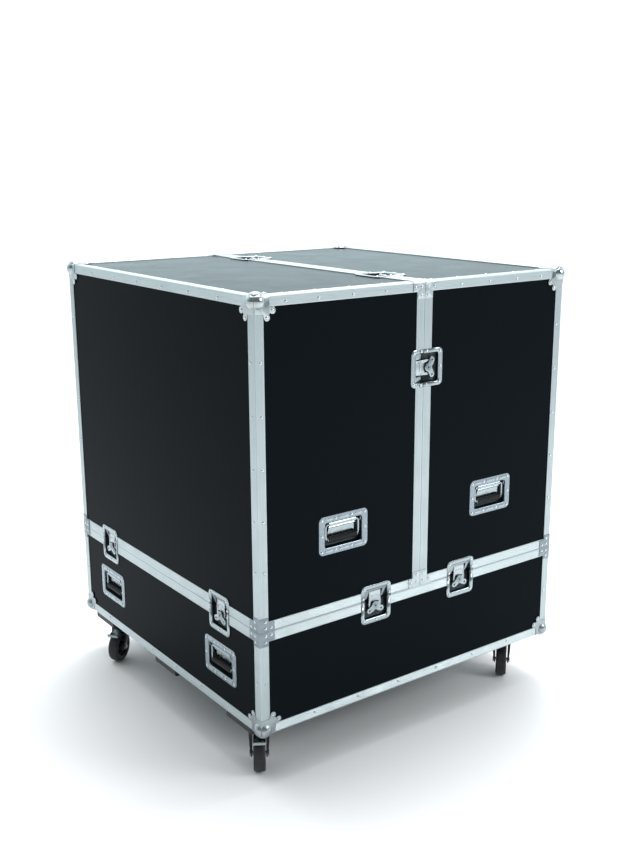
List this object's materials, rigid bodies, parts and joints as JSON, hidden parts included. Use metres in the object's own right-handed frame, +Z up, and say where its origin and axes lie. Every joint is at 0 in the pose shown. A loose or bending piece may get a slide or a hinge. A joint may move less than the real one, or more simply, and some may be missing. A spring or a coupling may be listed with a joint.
{
  "type": "flight case",
  "caption": "Tall transport case with a low tray on swivel casters, a split lift-off hood, twist latches, recessed bail handles and aluminium edges with ball corners.",
  "frame": {"origin": "on the floor under the middle of the case, at the centre of its outline seen from above", "axes": "+Z up, +X to the right across the front, +Y from front to back"},
  "size_m": [1.121, 1.106, 1.3375],
  "materials": {
    "plywood": "birch plywood faced with smooth black phenolic laminate, satin",
    "aluminium": "extruded and natural anodised, fine lines along the length",
    "zinc_plate": "pressed steel, bright zinc plated",
    "rubber": "moulded black rubber grip on a zinc plated wire bail",
    "black_steel": "pressed steel, black coated, satin",
    "tyre": "moulded black elastic tread on a black nylon hub",
    "board": "wooden board, brushed with black paint"
  },
  "bodies": {
    "tray": {"tray_floor": "plywood", "tray_walls": "plywood", "tray_frame": "aluminium", "front_runner": "board", "middle_runner": "board", "back_runner": "board", "tray_left_front_handle_dish": "zinc_plate", "tray_left_back_handle_dish": "zinc_plate", "tray_right_front_handle_dish": "zinc_plate", "tray_right_back_handle_dish": "zinc_plate"},
    "left_hood": {"left_hood_shell": "plywood", "left_hood_frame": "aluminium", "left_hood_front_handle_dish": "zinc_plate", "left_hood_back_handle_dish": "zinc_plate"},
    "right_hood": {"right_hood_shell": "plywood", "right_hood_frame": "aluminium", "right_hood_front_handle_dish": "zinc_plate", "right_hood_back_handle_dish": "zinc_plate"},
    "front_left_latch_butterfly": {"front_left_latch_butterfly": "zinc_plate"},
    "front_left_latch_hook": {"front_left_latch_hook": "zinc_plate"},
    "left_front_latch_butterfly": {"left_front_latch_butterfly": "zinc_plate"},
    "left_front_latch_hook": {"left_front_latch_hook": "zinc_plate"},
    "back_left_latch_butterfly": {"back_left_latch_butterfly": "zinc_plate"},
    "back_left_latch_hook": {"back_left_latch_hook": "zinc_plate"},
    "left_back_latch_butterfly": {"left_back_latch_butterfly": "zinc_plate"},
    "left_back_latch_hook": {"left_back_latch_hook": "zinc_plate"},
    "front_right_latch_butterfly": {"front_right_latch_butterfly": "zinc_plate"},
    "front_right_latch_hook": {"front_right_latch_hook": "zinc_plate"},
    "right_front_latch_butterfly": {"right_front_latch_butterfly": "zinc_plate"},
    "right_front_latch_hook": {"right_front_latch_hook": "zinc_plate"},
    "back_right_latch_butterfly": {"back_right_latch_butterfly": "zinc_plate"},
    "back_right_latch_hook": {"back_right_latch_hook": "zinc_plate"},
    "right_back_latch_butterfly": {"right_back_latch_butterfly": "zinc_plate"},
    "right_back_latch_hook": {"right_back_latch_hook": "zinc_plate"},
    "seam_front_latch_butterfly": {"seam_front_latch_butterfly": "zinc_plate"},
    "seam_front_latch_hook": {"seam_front_latch_hook": "zinc_plate"},
    "seam_back_latch_butterfly": {"seam_back_latch_butterfly": "zinc_plate"},
    "seam_back_latch_hook": {"seam_back_latch_hook": "zinc_plate"},
    "top_front_latch_butterfly": {"top_front_latch_butterfly": "zinc_plate"},
    "top_front_latch_hook": {"top_front_latch_hook": "zinc_plate"},
    "top_back_latch_butterfly": {"top_back_latch_butterfly": "zinc_plate"},
    "top_back_latch_hook": {"top_back_latch_hook": "zinc_plate"},
    "left_hood_front_handle_bail": {"left_hood_front_handle_bail": "rubber"},
    "left_hood_back_handle_bail": {"left_hood_back_handle_bail": "rubber"},
    "right_hood_front_handle_bail": {"right_hood_front_handle_bail": "rubber"},
    "right_hood_back_handle_bail": {"right_hood_back_handle_bail": "rubber"},
    "tray_left_front_handle_bail": {"tray_left_front_handle_bail": "rubber"},
    "tray_left_back_handle_bail": {"tray_left_back_handle_bail": "rubber"},
    "tray_right_front_handle_bail": {"tray_right_front_handle_bail": "rubber"},
    "tray_right_back_handle_bail": {"tray_right_back_handle_bail": "rubber"},
    "front_left_caster_fork": {"front_left_caster_fork": "black_steel"},
    "front_left_caster_wheel": {"front_left_caster_wheel": "tyre"},
    "front_left_caster_pedal": {"front_left_caster_pedal": "zinc_plate"},
    "back_left_caster_fork": {"back_left_caster_fork": "black_steel"},
    "back_left_caster_wheel": {"back_left_caster_wheel": "tyre"},
    "back_left_caster_pedal": {"back_left_caster_pedal": "zinc_plate"},
    "front_right_caster_fork": {"front_right_caster_fork": "black_steel"},
    "front_right_caster_wheel": {"front_right_caster_wheel": "tyre"},
    "back_right_caster_fork": {"back_right_caster_fork": "black_steel"},
    "back_right_caster_wheel": {"back_right_caster_wheel": "tyre"}
  },
  "joints": [
    {"name": "left_hood_lift", "type": "slide", "parent": "tray", "child": "left_hood", "axis": [0, 0, 1], "range_m": [0, 0.9]},
    {"name": "right_hood_lift", "type": "slide", "parent": "tray", "child": "right_hood", "axis": [0, 0, 1], "range_m": [0, 0.9]},
    {"name": "front_left_latch_turn", "type": "hinge", "parent": "tray", "child": "front_left_latch_butterfly", "pos_m": [-0.161, -0.5425, 0.4305], "axis": [0, -1, 0], "range_deg": [0, 180]},
    {"name": "front_left_latch_draw", "type": "slide", "parent": "tray", "child": "front_left_latch_hook", "axis": [0, 0, 1], "range_m": [0, 0.007]},
    {"name": "left_front_latch_turn", "type": "hinge", "parent": "tray", "child": "left_front_latch_butterfly", "pos_m": [-0.55, -0.339, 0.4305], "axis": [-1, 0, 0], "range_deg": [0, 180]},
    {"name": "left_front_latch_draw", "type": "slide", "parent": "tray", "child": "left_front_latch_hook", "axis": [0, 0, 1], "range_m": [0, 0.007]},
    {"name": "back_left_latch_turn", "type": "hinge", "parent": "tray", "child": "back_left_latch_butterfly", "pos_m": [-0.161, 0.5425, 0.4305], "axis": [0, 1, 0], "range_deg": [0, 180]},
    {"name": "back_left_latch_draw", "type": "slide", "parent": "tray", "child": "back_left_latch_hook", "axis": [0, 0, 1], "range_m": [0, 0.007]},
    {"name": "left_back_latch_turn", "type": "hinge", "parent": "tray", "child": "left_back_latch_butterfly", "pos_m": [-0.55, 0.339, 0.4305], "axis": [-1, 0, 0], "range_deg": [0, 180]},
    {"name": "left_back_latch_draw", "type": "slide", "parent": "tray", "child": "left_back_latch_hook", "axis": [0, 0, 1], "range_m": [0, 0.007]},
    {"name": "front_right_latch_turn", "type": "hinge", "parent": "tray", "child": "front_right_latch_butterfly", "pos_m": [0.161, -0.5425, 0.4305], "axis": [0, -1, 0], "range_deg": [0, 180]},
    {"name": "front_right_latch_draw", "type": "slide", "parent": "tray", "child": "front_right_latch_hook", "axis": [0, 0, 1], "range_m": [0, 0.007]},
    {"name": "right_front_latch_turn", "type": "hinge", "parent": "tray", "child": "right_front_latch_butterfly", "pos_m": [0.55, -0.339, 0.4305], "axis": [1, 0, 0], "range_deg": [0, 180]},
    {"name": "right_front_latch_draw", "type": "slide", "parent": "tray", "child": "right_front_latch_hook", "axis": [0, 0, 1], "range_m": [0, 0.007]},
    {"name": "back_right_latch_turn", "type": "hinge", "parent": "tray", "child": "back_right_latch_butterfly", "pos_m": [0.161, 0.5425, 0.4305], "axis": [0, 1, 0], "range_deg": [0, 180]},
    {"name": "back_right_latch_draw", "type": "slide", "parent": "tray", "child": "back_right_latch_hook", "axis": [0, 0, 1], "range_m": [0, 0.007]},
    {"name": "right_back_latch_turn", "type": "hinge", "parent": "tray", "child": "right_back_latch_butterfly", "pos_m": [0.55, 0.339, 0.4305], "axis": [1, 0, 0], "range_deg": [0, 180]},
    {"name": "right_back_latch_draw", "type": "slide", "parent": "tray", "child": "right_back_latch_hook", "axis": [0, 0, 1], "range_m": [0, 0.007]},
    {"name": "seam_front_latch_turn", "type": "hinge", "parent": "right_hood", "child": "seam_front_latch_butterfly", "pos_m": [0.02, -0.5425, 1.0885], "axis": [0, -1, 0], "range_deg": [0, 180]},
    {"name": "seam_front_latch_draw", "type": "slide", "parent": "right_hood", "child": "seam_front_latch_hook", "axis": [-1, 0, 0], "range_m": [0, 0.007]},
    {"name": "seam_back_latch_turn", "type": "hinge", "parent": "right_hood", "child": "seam_back_latch_butterfly", "pos_m": [0.02, 0.5425, 1.0885], "axis": [0, 1, 0], "range_deg": [0, 180]},
    {"name": "seam_back_latch_draw", "type": "slide", "parent": "right_hood", "child": "seam_back_latch_hook", "axis": [-1, 0, 0], "range_m": [0, 0.007]},
    {"name": "top_front_latch_turn", "type": "hinge", "parent": "right_hood", "child": "top_front_latch_butterfly", "pos_m": [0.02, -0.34, 1.327], "axis": [0, 0, 1], "range_deg": [0, 180]},
    {"name": "top_front_latch_draw", "type": "slide", "parent": "right_hood", "child": "top_front_latch_hook", "axis": [-1, 0, 0], "range_m": [0, 0.007]},
    {"name": "top_back_latch_turn", "type": "hinge", "parent": "right_hood", "child": "top_back_latch_butterfly", "pos_m": [0.02, 0.34, 1.327], "axis": [0, 0, 1], "range_deg": [0, 180]},
    {"name": "top_back_latch_draw", "type": "slide", "parent": "right_hood", "child": "top_back_latch_hook", "axis": [-1, 0, 0], "range_m": [0, 0.007]},
    {"name": "left_hood_front_handle_swing", "type": "hinge", "parent": "left_hood", "child": "left_hood_front_handle_bail", "pos_m": [-0.275, -0.5335, 0.7], "axis": [-1, 0, 0], "range_deg": [0, 90], "stiffness_Nm_per_rad": 0.15},
    {"name": "left_hood_back_handle_swing", "type": "hinge", "parent": "left_hood", "child": "left_hood_back_handle_bail", "pos_m": [-0.275, 0.5335, 0.7], "axis": [1, 0, 0], "range_deg": [0, 90], "stiffness_Nm_per_rad": 0.15},
    {"name": "right_hood_front_handle_swing", "type": "hinge", "parent": "right_hood", "child": "right_hood_front_handle_bail", "pos_m": [0.275, -0.5335, 0.7], "axis": [-1, 0, 0], "range_deg": [0, 90], "stiffness_Nm_per_rad": 0.15},
    {"name": "right_hood_back_handle_swing", "type": "hinge", "parent": "right_hood", "child": "right_hood_back_handle_bail", "pos_m": [0.275, 0.5335, 0.7], "axis": [1, 0, 0], "range_deg": [0, 90], "stiffness_Nm_per_rad": 0.15},
    {"name": "tray_left_front_handle_swing", "type": "hinge", "parent": "tray", "child": "tray_left_front_handle_bail", "pos_m": [-0.541, -0.337, 0.323], "axis": [0, 1, 0], "range_deg": [0, 90], "stiffness_Nm_per_rad": 0.15},
    {"name": "tray_left_back_handle_swing", "type": "hinge", "parent": "tray", "child": "tray_left_back_handle_bail", "pos_m": [-0.541, 0.337, 0.323], "axis": [0, 1, 0], "range_deg": [0, 90], "stiffness_Nm_per_rad": 0.15},
    {"name": "tray_right_front_handle_swing", "type": "hinge", "parent": "tray", "child": "tray_right_front_handle_bail", "pos_m": [0.541, -0.337, 0.323], "axis": [0, -1, 0], "range_deg": [0, 90], "stiffness_Nm_per_rad": 0.15},
    {"name": "tray_right_back_handle_swing", "type": "hinge", "parent": "tray", "child": "tray_right_back_handle_bail", "pos_m": [0.541, 0.337, 0.323], "axis": [0, -1, 0], "range_deg": [0, 90], "stiffness_Nm_per_rad": 0.15},
    {"name": "front_left_swivel", "type": "hinge", "parent": "tray", "child": "front_left_caster_fork", "pos_m": [-0.48, -0.421, 0.1287], "axis": [0, 0, 1], "continuous": true},
    {"name": "front_left_roll", "type": "hinge", "parent": "front_left_caster_fork", "child": "front_left_caster_wheel", "pos_m": [-0.50163, -0.45465, 0.04976], "axis": [0.8412, -0.5408, 0], "continuous": true},
    {"name": "front_left_brake", "type": "hinge", "parent": "front_left_caster_fork", "child": "front_left_caster_pedal", "pos_m": [-0.49406, -0.44287, 0.1027], "axis": [0.8412, -0.5408, 0], "range_deg": [0, 5]},
    {"name": "back_left_swivel", "type": "hinge", "parent": "tray", "child": "back_left_caster_fork", "pos_m": [-0.48, 0.421, 0.1287], "axis": [0, 0, 1], "continuous": true},
    {"name": "back_left_roll", "type": "hinge", "parent": "back_left_caster_fork", "child": "back_left_caster_wheel", "pos_m": [-0.512, 0.397, 0.04976], "axis": [0.6, -0.8, 0], "continuous": true},
    {"name": "back_left_brake", "type": "hinge", "parent": "back_left_caster_fork", "child": "back_left_caster_pedal", "pos_m": [-0.5008, 0.4054, 0.1027], "axis": [0.6, -0.8, 0], "range_deg": [0, 5]},
    {"name": "front_right_swivel", "type": "hinge", "parent": "tray", "child": "front_right_caster_fork", "pos_m": [0.48, -0.421, 0.1287], "axis": [0, 0, 1], "continuous": true},
    {"name": "front_right_roll", "type": "hinge", "parent": "front_right_caster_fork", "child": "front_right_caster_wheel", "pos_m": [0.45073, -0.44826, 0.04976], "axis": [0.6816, -0.7317, 0], "continuous": true},
    {"name": "back_right_swivel", "type": "hinge", "parent": "tray", "child": "back_right_caster_fork", "pos_m": [0.48, 0.421, 0.1287], "axis": [0, 0, 1], "continuous": true},
    {"name": "back_right_roll", "type": "hinge", "parent": "back_right_caster_fork", "child": "back_right_caster_wheel", "pos_m": [0.45192, 0.39252, 0.04976], "axis": [0.7121, -0.7021, 0], "continuous": true}
  ],
  "couplings": [
    {"joint": "right_hood_lift", "follows": "left_hood_lift", "ratio": 1},
    {"joint": "front_left_latch_draw", "follows": "front_left_latch_turn", "m_per_rad": 0.0022282},
    {"joint": "left_front_latch_draw", "follows": "left_front_latch_turn", "m_per_rad": 0.0022282},
    {"joint": "back_left_latch_draw", "follows": "back_left_latch_turn", "m_per_rad": 0.0022282},
    {"joint": "left_back_latch_draw", "follows": "left_back_latch_turn", "m_per_rad": 0.0022282},
    {"joint": "front_right_latch_draw", "follows": "front_right_latch_turn", "m_per_rad": 0.0022282},
    {"joint": "right_front_latch_draw", "follows": "right_front_latch_turn", "m_per_rad": 0.0022282},
    {"joint": "back_right_latch_draw", "follows": "back_right_latch_turn", "m_per_rad": 0.0022282},
    {"joint": "right_back_latch_draw", "follows": "right_back_latch_turn", "m_per_rad": 0.0022282},
    {"joint": "seam_front_latch_draw", "follows": "seam_front_latch_turn", "m_per_rad": 0.0022282},
    {"joint": "seam_back_latch_draw", "follows": "seam_back_latch_turn", "m_per_rad": 0.0022282},
    {"joint": "top_front_latch_draw", "follows": "top_front_latch_turn", "m_per_rad": 0.0022282},
    {"joint": "top_back_latch_draw", "follows": "top_back_latch_turn", "m_per_rad": 0.0022282}
  ]
}
